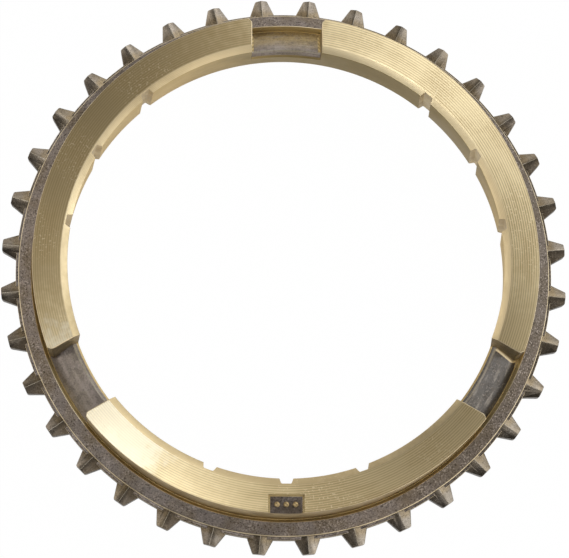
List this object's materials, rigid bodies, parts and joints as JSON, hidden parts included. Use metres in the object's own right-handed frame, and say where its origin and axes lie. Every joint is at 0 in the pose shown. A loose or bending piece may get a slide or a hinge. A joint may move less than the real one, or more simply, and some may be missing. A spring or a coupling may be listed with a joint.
{
  "type": "synchronizer ring",
  "caption": "Forged brass baulk ring for a manual gearbox: pointed outer dog teeth, a slotted collar for the shift keys and a grooved inner friction cone.",
  "frame": {"origin": "on the ring's axis, in the plane of its flat back face", "axes": "+Z along the ring's axis, from the toothed back face to the collar's face; one of the key slots is centred on +Y"},
  "size_m": [0.0922, 0.0922, 0.0118],
  "materials": {
    "brass": "turned where it works, as forged elsewhere"
  },
  "bodies": {
    "root": {"synchronizer_ring": "brass"}
  },
  "joints": []
}
